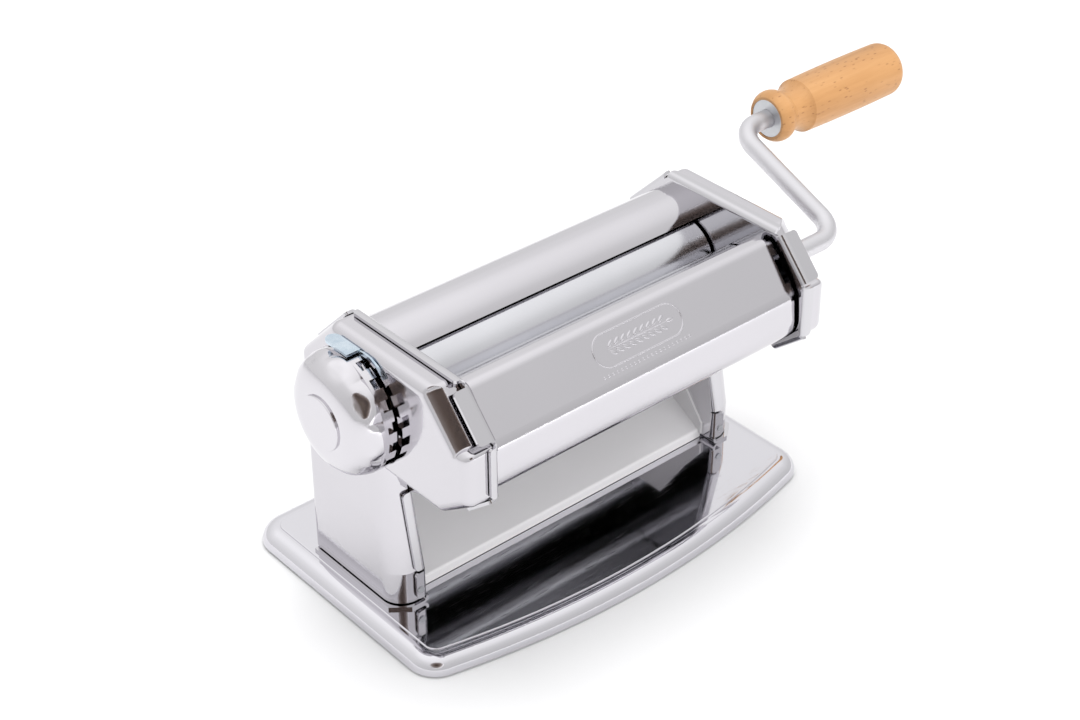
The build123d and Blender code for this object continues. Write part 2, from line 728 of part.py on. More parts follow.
def make_cam():
    """The regulator cam: a disc whose spiral slot moves the carriage pin outward evenly."""
    steps = 30
    reach = 14.0  # degrees of slot past each end
    slot_r = CAM_PIN_R + 0.2
    path = []
    for i in range(steps + 1):
        turn = -reach + (KNOB_TURN + 2 * reach) * i / steps
        radius = CAM_PIN_RADIUS + GAP_TRAVEL * turn / KNOB_TURN
        path.append((radius * cos(radians(turn)), radius * sin(radians(turn))))
    thickness = CAM_X[1] - CAM_X[0]
    outer = []
    inner = []
    for i in range(steps + 1):
        turn = radians(-reach + (KNOB_TURN + 2 * reach) * i / steps)
        radius = hypot(*path[i])
        outer.append(((radius + slot_r) * cos(turn), (radius + slot_r) * sin(turn)))
        inner.append(((radius - slot_r) * cos(turn), (radius - slot_r) * sin(turn)))
    edge = [Spline(*outer), Line(outer[-1], inner[-1]), Spline(*inner), Line(inner[0], outer[0])]
    face = make_face(Plane.YZ.offset(CAM_X[0] - 1) * Wire(edge))
    cut = extrude(face, amount=thickness + 2, dir=(1, 0, 0))
    disc = rod(0, 0, CAM_X[0], CAM_X[1], CAM_R) - cut
    disc -= rod(0, 0, CAM_X[0] - 1, CAM_X[1] + 1, SPINDLE_R + BORE_GAP)
    return Pos(0, REAR_Y, AXIS_Z) * disc


# --- knob ---------------------------------------------------------------------------------
KNOB_BUSH_R = 7.5


def make_knob_bush():
    sleeve = rod(REAR_Y, AXIS_Z, -COVER_FACE - 0.6, -COVER_FACE + 2.0, KNOB_BUSH_R)
    lip = rod(REAR_Y, AXIS_Z, -COVER_FACE + COVER_SHEET, -COVER_FACE + 2.0, KNOB_BUSH_R + 2.5)
    return sleeve + lip - rod(REAR_Y, AXIS_Z, -95, -80, SPINDLE_R + FIT)


def make_spindle():
    return rod(REAR_Y, AXIS_Z, KNOB_FACE_X + CAP_HEIGHT, CAM_X[1] + 0.3, SPINDLE_R)


CAP_HEIGHT = 0.9
CAP_R = 10.8
# the dome's outline as (X, radius), from the cap to the ring
DOME = [
    (KNOB_FACE_X + CAP_HEIGHT, CAP_R + 0.2),
    (-105.2, 15.4),
    (-103.2, 20.2),
    (-100.2, 23.0),
    (KNOB_RING_X[0], KNOB_R),
]
DOME_SHEET = 1.4


def make_knob_shell():
    """The knob's domed shell, pressed from sheet, from its flat middle to the ring."""
    rim_x, rim_r = DOME[-1]
    face_x, face_r = DOME[0]
    ends = [(0.25, 0, 1), (1, 0, 0.1)]
    outer = Spline(*[(x, 0, r) for x, r in DOME], tangents=ends)
    inner_points = [(x + DOME_SHEET * 0.8, 0, r - DOME_SHEET * 0.75) for x, r in DOME[:-1]]
    inner_points.append((rim_x, 0, rim_r - DOME_SHEET))
    inner = Spline(*inner_points, tangents=ends)
    edges = [
        outer,
        Line((rim_x, 0, rim_r), inner_points[-1]),
        inner,
        Line(inner_points[0], (inner_points[0][0], 0, SPINDLE_R + BORE_GAP)),
        Line((inner_points[0][0], 0, SPINDLE_R + BORE_GAP), (face_x, 0, SPINDLE_R + BORE_GAP)),
        Line((face_x, 0, SPINDLE_R + BORE_GAP), (face_x, 0, face_r)),
    ]
    shell = revolve(make_face(Wire(edges)), axis=Axis.X)
    return Pos(0, REAR_Y, AXIS_Z) * shell


def make_knob_ring():
    """The notched ring at the knob's rim, which the catch drops into."""
    low, high = KNOB_RING_X
    ring = rod(0, 0, low, high, KNOB_R) - rod(0, 0, low - 1, high + 1, KNOB_R - 3.0)
    web = rod(0, 0, low, low + 1.4, KNOB_R - 3.0) - rod(0, 0, low - 1, high, SPINDLE_R + BORE_GAP)
    ring += web
    for i in range(KNOB_NOTCHES):
        tooth_gap = block((low + 1.4, high + 1), (KNOB_R - 2.2, KNOB_R + 1), (-2.1, 2.1))
        ring -= Rot(360 * (i + 0.5) / KNOB_NOTCHES, 0, 0) * tooth_gap
    return Pos(0, REAR_Y, AXIS_Z) * ring


def make_knob_cap():
    cap = rod(REAR_Y, AXIS_Z, KNOB_FACE_X, KNOB_FACE_X + CAP_HEIGHT, CAP_R)
    return fillet(cap.faces().sort_by(Axis.X)[0].edges(), 0.4)


CATCH_X = (-90.0, -89.2)
CATCH_PIVOT = (8.5, 106.5)
CATCH_PIN_R = 2.0
LEDGE_X = -95.2
LEDGE_Z = 119.4


def make_catch():
    """The zinc-plated catch: an upright plate with a thumb ledge on top and a short tooth."""
    low, high = CATCH_X
    pivot_y, pivot_z = CATCH_PIVOT
    upright = slab([(-6.5, 112.5), (-5.5, LEDGE_Z), (8.5, LEDGE_Z), (12.5, 108.0), (6.0, 103.0)], low, high)
    plate = upright + rod(pivot_y, pivot_z, low, high, 4.5)
    plate += block((LEDGE_X, high), (-5.5, 8.5), (LEDGE_Z, LEDGE_Z + 1.0))
    tooth = [(-9.3, LEDGE_Z - 0.7), (-9.0, LEDGE_Z + 0.6), (-5.5, LEDGE_Z + 1.0), (-5.5, LEDGE_Z)]
    plate += slab(tooth, LEDGE_X, high)
    return plate - rod(pivot_y, pivot_z, low - 1, high + 1, CATCH_PIN_R + FIT)


def make_catch_pin():
    """The pin the catch swings on, riveted in the left end cover."""
    pin = rod(*CATCH_PIVOT, CATCH_X[0] - 0.2, -COVER_FACE + COVER_SHEET, CATCH_PIN_R)
    head = rod(*CATCH_PIVOT, CATCH_X[0] - 1.0, CATCH_X[0] - 0.2, CATCH_PIN_R + 1.2)
    tail = rod(*CATCH_PIVOT, -COVER_FACE + COVER_SHEET, -COVER_FACE + 1.6, CATCH_PIN_R + 1)
    return pin + head + tail


def make_spring_tab():
    """The end of the catch's leaf spring, showing on the cover under the knob."""
    leaf = [(-13.0, 73.6), (-9.5, 72.4), (-4.0, 84.0), (-8.0, 86.0)]
    return slab(leaf, -COVER_FACE - 0.8, -COVER_FACE)


# --- crank --------------------------------------------------------------------------------
def make_crank_rod():
    """Round rod bent twice, with a hexagonal end for the roller's socket."""
    start = (JOURNAL_RIGHT + 3.0, FRONT_Y, AXIS_Z)
    elbow = (CRANK_ELBOW_X, FRONT_Y, AXIS_Z)
    top = (CRANK_ELBOW_X + 3.2, GRIP_Y, GRIP_Z)
    end = (GRIP_X + GRIP_LENGTH - 14.0, GRIP_Y, GRIP_Z)
    path = FilletPolyline(start, elbow, top, end, radius=CRANK_BEND_R)
    section = Plane(origin=start, z_dir=(1, 0, 0)) * Circle(CRANK_R)
    bar = sweep(section, path=path)
    return bar + hexagon(FRONT_Y, AXIS_Z, SOCKET_END, JOURNAL_RIGHT + 3.0, HEX_FLATS)


GRIP_BORE_R = CRANK_R + FIT


def make_grip():
    """The turned beech grip: collar, hollowed neck, shoulder and a long barrel."""
    edge = [
        Line((0, 0, GRIP_BORE_R), (0, 0, 9.4)),
        ThreePointArc((0, 0, 9.4), (4.4, 0, 11.3), (8.2, 0, 9.9)),
        ThreePointArc((8.2, 0, 9.9), (11.4, 0, 9.1), (17.6, 0, 11.0)),
        Line((17.6, 0, 11.0), (18.4, 0, 11.7)),
        ThreePointArc((18.4, 0, 11.7), (44, 0, 12.1), (GRIP_LENGTH - 6, 0, 11.9)),
        ThreePointArc(
            (GRIP_LENGTH - 6, 0, 11.9), (GRIP_LENGTH - 1.7, 0, 10.2), (GRIP_LENGTH, 0, 6.0)
        ),
        Line((GRIP_LENGTH, 0, 6.0), (GRIP_LENGTH, 0, 0)),
        Line((GRIP_LENGTH, 0, 0), (GRIP_LENGTH - 13.5, 0, 0)),
        Line((GRIP_LENGTH - 13.5, 0, 0), (GRIP_LENGTH - 13.5, 0, GRIP_BORE_R)),
        Line((GRIP_LENGTH - 13.5, 0, GRIP_BORE_R), (0, 0, GRIP_BORE_R)),
    ]
    grip = revolve(make_face(Wire(edge)), axis=Axis.X)
    recess = rod(0, 0, -1, 1.2, 8.3)
    return Pos(GRIP_X, GRIP_Y, GRIP_Z) * (grip - recess)


def make_ferrule():
    """The steel disc let into the grip's collar."""
    disc = rod(GRIP_Y, GRIP_Z, GRIP_X + 0.2, GRIP_X + 1.2, 8.2)
    return disc - rod(GRIP_Y, GRIP_Z, GRIP_X - 1, GRIP_X + 3, GRIP_BORE_R)


# --- scrapers -----------------------------------------------------------------------------
SCRAPER_GAP = 0.4
SCRAPER_SHEET = 1.0


def make_scraper(y, side, heel, half):
    """A blade that keeps dough off the underside of a roller.

    Side is -1 for the front roller and 1 for the rear one; heel is the blade's fixed edge.
    """
    touch = ROLLER_R + SCRAPER_GAP
    tip = (y + side * touch * 0.5, AXIS_Z - touch * sqrt(0.75))
    length = hypot(heel[0] - tip[0], heel[1] - tip[1])
    drop = SCRAPER_SHEET / length
    down = (side * (heel[1] - tip[1]) * drop, -side * (heel[0] - tip[0]) * drop)
    blade = [tip, heel, (heel[0] + down[0], heel[1] + down[1]), (tip[0] + down[0], tip[1] + down[1])]
    return slab(blade, -half, half)


def save(name, shape):
    export_step(shape, f"parts/{name}.step")


def main():
    os.makedirs("parts", exist_ok=True)
    save("base_plate", make_base_plate())
    save("rubber_feet", make_rubber_feet())
    plate = make_side_plate()
    save("right_side_plate", plate)
    save("left_side_plate", mirrored(plate))
    save("foot_rivets", make_foot_rivets())
    save("leg_rivets", make_leg_rivets())
    save("tie_rods", make_tie_rods())
    save("tie_rod_nuts", make_tie_nuts())
    save("right_end_cover", make_end_cover(FRONT_Y, CRANK_R + 1.0))
    left_cover = mirrored(make_end_cover(REAR_Y, KNOB_BUSH_R))
    pivot_hole = rod(*CATCH_PIVOT, -COVER_FACE - 1, -COVER_FACE + 3, CATCH_PIN_R)
    save("left_end_cover", left_cover - pivot_hole)
    leg_cover = make_leg_cover()
    save("right_leg_cover", leg_cover)
    save("left_leg_cover", mirrored(leg_cover))
    save("rear_cover", make_rear_cover())
    save("front_cover", make_front_cover())
    save("accessory_rail", make_accessory_rail())
    save("chute_panel", make_chute())
    save("clamp_bracket", make_clamp_bracket())
    save("front_roller", make_front_roller())
    save("rear_roller", make_roller(REAR_Y))
    save("drive_gear", make_gear(FRONT_Y, 0))
    save("driven_gear", make_gear(REAR_Y, 180 / GEAR_TEETH))
    save("front_bushes", make_bushes(FRONT_Y, PLATE_OUT, BUSH_R))
    save("rear_bushes", make_bushes(REAR_Y, CARRIAGE_X[1], BUSH_R))
    save("right_carriage_plate", make_carriage_plate())
    save("left_carriage_plate", mirrored(make_carriage_plate()))
    save("carriage_rod", make_carriage_rod())
    save("carriage_pin", make_cam_pin())
    save("guide_pins", make_guide_pins())
    save("front_scraper", make_scraper(FRONT_Y, -1, (-48.4, 78.4), PLATE_IN))
    save("rear_scraper", make_scraper(REAR_Y, 1, (ROD_Y - ROD_R - 0.05, ROD_Z), PLATE_IN - 1))
    save("cover_spacers", make_spacers())
    save("knob_bush", make_knob_bush())
    save("regulator_spindle", make_spindle())
    save("regulator_cam", make_cam())
    save("knob_shell", make_knob_shell())
    save("knob_ring", make_knob_ring())
    save("knob_cap", make_knob_cap())
    save("catch_plate", make_catch())
    save("catch_pin", make_catch_pin())
    save("spring_tab", make_spring_tab())
    save("crank_rod", make_crank_rod())
    save("grip", make_grip())
    save("grip_ferrule", make_ferrule())


main()
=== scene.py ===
from math import cos, hypot, pi, radians, sin, sqrt, tan

import bmesh
import bpy
from mathutils import Matrix, Vector


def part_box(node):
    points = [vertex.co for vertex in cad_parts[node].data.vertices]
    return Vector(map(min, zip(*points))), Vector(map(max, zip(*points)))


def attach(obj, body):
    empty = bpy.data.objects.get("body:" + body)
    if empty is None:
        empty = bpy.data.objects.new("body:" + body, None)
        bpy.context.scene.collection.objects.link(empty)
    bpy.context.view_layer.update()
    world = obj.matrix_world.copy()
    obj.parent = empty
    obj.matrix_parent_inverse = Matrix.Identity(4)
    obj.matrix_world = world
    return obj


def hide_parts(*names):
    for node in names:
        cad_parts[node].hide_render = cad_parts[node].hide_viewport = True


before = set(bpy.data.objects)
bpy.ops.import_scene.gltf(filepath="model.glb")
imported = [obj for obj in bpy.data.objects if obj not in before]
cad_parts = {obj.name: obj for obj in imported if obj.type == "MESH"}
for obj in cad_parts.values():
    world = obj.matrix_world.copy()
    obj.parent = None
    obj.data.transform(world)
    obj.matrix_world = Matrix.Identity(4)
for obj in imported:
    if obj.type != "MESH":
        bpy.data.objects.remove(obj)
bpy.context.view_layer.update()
MM = 0.001


# --- node helpers -------------------------------------------------------------------------
def material(name, color, metallic, roughness):
    """A Principled material; returns the material, its node tree and the shader."""
    mat = bpy.data.materials.new(name)
    mat.use_nodes = True
    tree = mat.node_tree
    shader = tree.nodes["Principled BSDF"]
    shader.inputs["Base Color"].default_value = (*color, 1)
    shader.inputs["Metallic"].default_value = metallic
    shader.inputs["Roughness"].default_value = roughness
    return mat, tree, shader


def object_coordinates(tree, scale=(1, 1, 1), rotation=(0, 0, 0)):
    coords = tree.nodes.new("ShaderNodeTexCoord")
    mapping = tree.nodes.new("ShaderNodeMapping")
    mapping.inputs["Scale"].default_value = scale
    mapping.inputs["Rotation"].default_value = rotation
    tree.links.new(coords.outputs["Object"], mapping.inputs["Vector"])
    return mapping.outputs["Vector"]


def noise(tree, vector, scale, detail=3.0, rough=0.5):
    node = tree.nodes.new("ShaderNodeTexNoise")
    node.inputs["Scale"].default_value = scale
    node.inputs["Detail"].default_value = detail
    node.inputs["Roughness"].default_value = rough
    tree.links.new(vector, node.inputs["Vector"])
    return node.outputs["Fac"]


def ramp(tree, value, stops):
    """A colour ramp; stops holds (position, colour) pairs, where a number means a grey."""
    node = tree.nodes.new("ShaderNodeValToRGB")
    elements = node.color_ramp.elements
    while len(elements) < len(stops):
        elements.new(0.5)
    for element, (position, color) in zip(elements, stops):
        element.position = position
        if not isinstance(color, tuple):
            color = (color, color, color)
        element.color = (*color, 1)
    tree.links.new(value, node.inputs["Fac"])
    return node.outputs["Color"]


def mix(tree, kind, factor, a, b):
    node = tree.nodes.new("ShaderNodeMix")
    node.data_type = "RGBA"
    node.blend_type = kind
    for socket, value in ((node.inputs[0], factor), (node.inputs[6], a), (node.inputs[7], b)):
        if hasattr(value, "is_output"):
            tree.links.new(value, socket)
        elif isinstance(value, float):
            socket.default_value = value
        else:
            socket.default_value = (*value, 1)
    return node.outputs[2]


def bump(tree, shader, height, strength, distance, normal=None):
    node = tree.nodes.new("ShaderNodeBump")
    node.inputs["Strength"].default_value = strength
    node.inputs["Distance"].default_value = distance
    tree.links.new(height, node.inputs["Height"])
    if normal is not None:
        tree.links.new(normal, node.inputs["Normal"])
    tree.links.new(node.outputs["Normal"], shader.inputs["Normal"])
    return node.outputs["Normal"]


# --- materials ----------------------------------------------------------------------------
def chrome(name, color, low, high, wave=0.012, smear=30.0):
    """Plated sheet: faint waviness from pressing, wiping marks and fine scratches."""
    mat, tree, shader = material(name, color, 1.0, low)
    plain = object_coordinates(tree)
    drawn = object_coordinates(tree, scale=(0.25, 1, 1), rotation=(0.1, 0.05, 0.6))
    smears = noise(tree, drawn, smear, 5.0, 0.6)
    rough = ramp(tree, smears, [(0.35, low), (0.75, high)])
    tree.links.new(rough, shader.inputs["Roughness"])
    tint = ramp(
        tree,
        noise(tree, plain, 14.0, 2.0),
        [(0.3, tuple(c * 0.965 for c in color)), (0.7, color)],
    )
    tree.links.new(tint, shader.inputs["Base Color"])
    scratches = object_coordinates(tree, scale=(1, 22, 22), rotation=(0.3, 0.2, 0.9))
    marks = ramp(tree, noise(tree, scratches, 110.0, 2.0, 0.7), [(0.62, 0.0), (0.72, 1.0)])
    first = bump(tree, shader, noise(tree, plain, 26.0, 1.0), wave, 0.01)
    bump(tree, shader, marks, 0.03, 0.0002, first)
    return mat


def ground_steel(name, color, along, low, high, strength):
    """Turned or ground steel; along is the texture stretch that draws the lines out."""
    mat, tree, shader = material(name, color, 1.0, low)
    lines = object_coordinates(tree, scale=along)
    grain = noise(tree, lines, 260.0, 6.0, 0.7)
    tree.links.new(ramp(tree, grain, [(0.25, low), (0.8, high)]), shader.inputs["Roughness"])
    broad = noise(tree, object_coordinates(tree), 20.0, 3.0)
    tone = ramp(tree, broad, [(0.3, tuple(c * 0.9 for c in color)), (0.7, color)])
    tree.links.new(tone, shader.inputs["Base Color"])
    bump(tree, shader, grain, strength, 0.0002)
    return mat


def zinc(name):
    """Passivated zinc: bluish with pale cloudy patches."""
    mat, tree, shader = material(name, (0.6, 0.68, 0.75), 1.0, 0.25)
    plain = object_coordinates(tree)
    clouds = noise(tree, plain, 90.0, 6.0, 0.65)
    tone = ramp(
        tree,
        clouds,
        [(0.3, (0.42, 0.52, 0.62)), (0.55, (0.62, 0.70, 0.77)), (0.8, (0.78, 0.82, 0.84))],
    )
    tree.links.new(tone, shader.inputs["Base Color"])
    tree.links.new(ramp(tree, clouds, [(0.3, 0.18), (0.8, 0.4)]), shader.inputs["Roughness"])
    bump(tree, shader, noise(tree, plain, 420.0, 4.0), 0.15, 0.0002)
    return mat


def bronze(name):
    """Sintered bronze with open pores."""
    mat, tree, shader = material(name, (0.55, 0.38, 0.2), 1.0, 0.4)
    pores = noise(tree, object_coordinates(tree), 900.0, 4.0, 0.7)
    tone = ramp(tree, pores, [(0.3, (0.22, 0.15, 0.08)), (0.5, (0.58, 0.41, 0.22))])
    tree.links.new(tone, shader.inputs["Base Color"])
    bump(tree, shader, pores, 0.3, 0.0002)
    return mat


def rubber(name):
    mat, tree, shader = material(name, (0.03, 0.03, 0.03), 0.0, 0.75)
    grain = noise(tree, object_coordinates(tree), 700.0, 5.0, 0.7)
    tree.links.new(
        ramp(tree, grain, [(0.3, 0.02), (0.8, 0.05)]), shader.inputs["Base Color"]
    )
    bump(tree, shader, grain, 0.3, 0.0003)
    return mat


def beech(name):
    """Oiled beech: soft bands along the grain and short dark ray flecks."""
    mat, tree, shader = material(name, (0.8, 0.5, 0.27), 0.0, 0.42)
    shader.inputs["Specular IOR Level"].default_value = 0.4
    shader.inputs["Coat Weight"].default_value = 0.12
    shader.inputs["Coat Roughness"].default_value = 0.3
    long_grain = object_coordinates(tree, scale=(0.07, 1, 1))
    bands = noise(tree, long_grain, 150.0, 6.0, 0.62)
    tone = ramp(
        tree,
        bands,
        [(0.28, (0.35, 0.17, 0.06)), (0.5, (0.42, 0.215, 0.082)), (0.75, (0.48, 0.26, 0.108))],
    )
    fleck_space = object_coordinates(tree, scale=(0.3, 1, 1), rotation=(0, 0.03, 0.02))
    cells = tree.nodes.new("ShaderNodeTexVoronoi")
    cells.inputs["Scale"].default_value = 760.0
    cells.inputs["Randomness"].default_value = 1.0
    tree.links.new(fleck_space, cells.inputs["Vector"])
    flecks = ramp(tree, cells.outputs["Distance"], [(0.12, 1.0), (0.27, 0.0)])
    sparse = ramp(tree, noise(tree, fleck_space, 160.0, 2.0), [(0.40, 0.0), (0.54, 1.0)])
    dashes = mix(tree, "MULTIPLY", 1.0, flecks, sparse)
    amount = ramp(tree, dashes, [(0.0, 0.0), (1.0, 0.75)])
    color = mix(tree, "MIX", amount, tone, (0.19, 0.075, 0.022))
    tree.links.new(color, shader.inputs["Base Color"])
    rough = ramp(tree, bands, [(0.3, 0.52), (0.8, 0.36)])
    tree.links.new(rough, shader.inputs["Roughness"])
    first = bump(tree, shader, bands, 0.12, 0.0004)
    bump(tree, shader, dashes, 0.2, 0.0003, first)
    return mat


def satin_sheet(name):
    """Satin sheet: fine lines along the rollers under a soft, slightly milky sheen."""
    mat, tree, shader = material(name, (0.74, 0.73, 0.74), 0.2, 0.42)
    shader.inputs["Specular IOR Level"].default_value = 0.6
    lines = noise(tree, object_coordinates(tree, scale=(0.05, 1, 1)), 620.0, 4.0, 0.7)
    broad = noise(tree, object_coordinates(tree), 11.0, 3.0, 0.6)
    tone = ramp(tree, broad, [(0.3, (0.60, 0.59, 0.60)), (0.7, (0.655, 0.645, 0.66))])
    tree.links.new(tone, shader.inputs["Base Color"])
    tree.links.new(ramp(tree, lines, [(0.3, 0.36), (0.7, 0.48)]), shader.inputs["Roughness"])
    bump(tree, shader, lines, 0.08, 0.0001)
    return mat


CHROME = chrome("chrome_cover", (0.63, 0.615, 0.645), 0.05, 0.12)
PLATE = chrome("chrome_plate", (0.61, 0.60, 0.625), 0.05, 0.14)
BASE = chrome("chrome_base", (0.675, 0.665, 0.70), 0.03, 0.08, wave=0.008, smear=16.0)
KNOB = chrome("chrome_knob", (0.665, 0.65, 0.68), 0.07, 0.14)
ROD = chrome("chrome_rod", (0.69, 0.68, 0.705), 0.38, 0.48)
SATIN = satin_sheet("satin_chute")
ROLLER = ground_steel("roller_steel", (0.66, 0.66, 0.69), (0.4, 40, 40), 0.10, 0.24, 0.06)
STEEL = ground_steel("machined_steel", (0.58, 0.59, 0.61), (30, 2, 2), 0.28, 0.5, 0.1)
ZINC = zinc("zinc_plate")
BRONZE = bronze("sintered_bronze")
RUBBER = rubber("rubber")
BEECH = beech("beech")

NODE_MATERIALS = {
    BASE: ["base_plate"],
    PLATE: ["left_side_plate", "right_side_plate"],
    CHROME: [
        "left_end_cover",
        "right_end_cover",
        "left_leg_cover",
        "right_leg_cover",
        "front_cover",
        "rear_cover",
        "accessory_rail",
    ],
    SATIN: ["chute_panel"],
    KNOB: ["knob_shell", "knob_ring", "knob_cap"],
    ROD: ["crank_rod"],
    ROLLER: ["front_roller", "rear_roller"],
    STEEL: [
        "foot_rivets",
        "leg_rivets",
        "tie_rods",
        "drive_gear",
        "driven_gear",
        "carriage_rod",
        "carriage_pin",
        "guide_pins",
        "front_scraper",
        "rear_scraper",
        "cover_spacers",
        "regulator_spindle",
        "catch_pin",
        "grip_ferrule",
    ],
    ZINC: [
        "tie_rod_nuts",
        "clamp_bracket",
        "left_carriage_plate",
        "right_carriage_plate",
        "regulator_cam",
        "catch_plate",
        "spring_tab",
    ],
    BRONZE: ["front_bushes", "rear_bushes", "knob_bush"],
    RUBBER: ["rubber_feet"],
    BEECH: ["grip"],
}
for mat, names in NODE_MATERIALS.items():
    for name in names:
        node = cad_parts[name]
        node.data.materials.clear()
        node.data.materials.append(mat)


# --- pieces -------------------------------------------------------------------------------
def piece(name, mesh, mat, body):
    """Links a finished mesh as a smooth-shaded piece that rides on a body."""
    thing = bpy.data.objects.new(name, mesh)
    bpy.context.scene.collection.objects.link(thing)
    thing.data.materials.append(mat)
    for face in mesh.polygons:
        face.use_smooth = True
    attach(thing, body)
    return thing


def grid_mesh(name, rows):
    """A closed mesh through rings of points, where the last ring joins the first."""
    mesh = bpy.data.meshes.new(name)
    count = len(rows[0])
    points = [tuple(point) for row in rows for point in row]
    faces = []
    for i in range(len(rows)):
        for j in range(count):
            k = (i + 1) % len(rows)
            m = (j + 1) % count
            faces.append((i * count + j, i * count + m, k * count + m, k * count + j))
    mesh.from_pydata(points, [], faces)
    mesh.validate()
    return mesh


def outward(mesh):
    """Turns every face of a closed mesh to face out."""
    work = bmesh.new()
    work.from_mesh(mesh)
    bmesh.ops.recalc_face_normals(work, faces=work.faces)
    work.to_mesh(mesh)
    work.free()
    return mesh


def smoothstep(low, high, value):
    t = min(1.0, max(0.0, (value - low) / (high - low)))
    return t * t * (3 - 2 * t)


# The knob's shell: petals with a crease between them and a finger hollow in each one.
PETALS = 9
PETAL_TURN = 21.0  # degrees from +Y to the middle of the first petal
PETAL_DROP = 1.1 * MM  # how far a crease lies below a petal's middle
HOLLOW_DEPTH = 0.5 * MM
HOLLOW_WIDTH = 0.62  # share of a petal's half width
SHELL_SHEET = 1.4 * MM
SHELL_BORE = 5 * MM
CAP_CLEAR = 0.2 * MM
DOME_STEPS = 40
STEPS_PER_PETAL = 40


def make_knob_shell():
    low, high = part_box("knob_shell")
    cap_low, cap_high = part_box("knob_cap")
    axis_y = (low.y + high.y) / 2
    axis_z = (low.z + high.z) / 2
    face_r = (cap_high.z - cap_low.z) / 2 + CAP_CLEAR
    rim_r = (high.z - low.z) / 2
    depth = high.x - low.x
    around = PETALS * STEPS_PER_PETAL
    half = pi / PETALS
    rows = []
    for i in range(DOME_STEPS + 1):
        t = i / DOME_STEPS
        turn = t * pi / 2
        x = low.x + depth * (1 - cos(turn)) ** 0.92
        r = face_r + (rim_r - face_r) * sin(turn) ** 0.82
        fade = smoothstep(0.58, 0.95, t)
        row = []
        for j in range(around):
            angle = 2 * pi * j / around
            off = (angle - radians(PETAL_TURN) + half) % (2 * half) - half
            crease = (off / half) ** 2
            hollow = max(0.0, 1 - (off / (HOLLOW_WIDTH * half)) ** 2) ** 1.2
            hollow *= smoothstep(0.34, 0.60, t) * (1 - smoothstep(0.66, 0.93, t))
            sink = fade * PETAL_DROP * crease + HOLLOW_DEPTH * hollow
            sunk_r = r - sink * (0.35 + 0.65 * sin(turn))
            row.append(
                (
                    x + sink * 0.55 * cos(turn),
                    axis_y + sunk_r * cos(angle),
                    axis_z + sunk_r * sin(angle),
                )
            )
        rows.append(row)
    for x, r in (
        (high.x, rim_r - PETAL_DROP - SHELL_SHEET),
        (low.x + 4 * MM, face_r + 5 * MM),
        (low.x + SHELL_SHEET, face_r),
        (low.x + SHELL_SHEET, SHELL_BORE),
        (low.x, SHELL_BORE),
    ):
        rows.append(
            [
                (
                    x,
                    axis_y + r * cos(2 * pi * j / around),
                    axis_z + r * sin(2 * pi * j / around),
                )
                for j in range(around)
            ]
        )
    mesh = outward(grid_mesh("knob_shell_petals", rows))
    shell = piece("knob_shell_petals", mesh, KNOB, "regulator_knob")
    shell.data.set_sharp_from_angle(angle=radians(32))
    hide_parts("knob_shell")


# The catch: an upright plate, a thumb ledge with a round end, and a curved tail on the cover.
CATCH_X = (-90.0, -89.2)
CATCH_LEDGE_X = -95.2
CATCH_TOP = (119.4, 120.4)
CATCH_LEDGE_Y = (-5.5, 9.2)
CATCH_UPRIGHT = [
    (-6.5, 112.5),
    (-5.5, CATCH_TOP[0]),
    (8.5, CATCH_TOP[0]),
    (12.6, 108.6),
    (12.6, 104.6),
    (8.5, 102.2),
    (5.4, 103.4),
]
CATCH_PIVOT = (8.5, 106.5)
CATCH_HOLE_R = 2.1
HOLE_SIDES = 32
CATCH_TAIL = [(-4.0, 118.9), (-8.0, 119.6), (-12.0, 119.5), (-16.0, 118.0), (-19.4, 114.6)]
TAIL_WIDTH = 1.7
TAIL_TAPER = 0.55  # share of the width lost by the tail's tip
LEDGE_STEPS = 12


def add_prism(work, lower, upper):
    """A closed prism between two matching rings of points."""
    bottom = [work.verts.new(point) for point in lower]
    top = [work.verts.new(point) for point in upper]
    work.faces.new(bottom)
    work.faces.new(list(reversed(top)))
    for j in range(len(bottom)):
        k = (j + 1) % len(bottom)
        work.faces.new((bottom[j], bottom[k], top[k], top[j]))


def add_pierced_plate(work, outline, centre, radius, span):
    """A plate across X with one round hole; outline is (Y, Z) and span its two X faces."""
    hole = []
    for i in range(HOLE_SIDES):
        angle = 2 * pi * i / HOLE_SIDES
        hole.append((centre[0] + radius * cos(angle), centre[1] + radius * sin(angle)))
    pairs = []
    for ring in (outline, hole):
        pairs.append([[work.verts.new((x, y * MM, z * MM)) for y, z in ring] for x in span])
    for face in range(2):
        edges = []
        for pair in pairs:
            loop = pair[face]
            edges += [work.edges.new((loop[j - 1], loop[j])) for j in range(len(loop))]
        bmesh.ops.triangle_fill(work, edges=edges, use_beauty=True, normal=(1, 0, 0))
    for near, far in pairs:
        for j in range(len(near)):
            work.faces.new((near[j - 1], near[j], far[j], far[j - 1]))


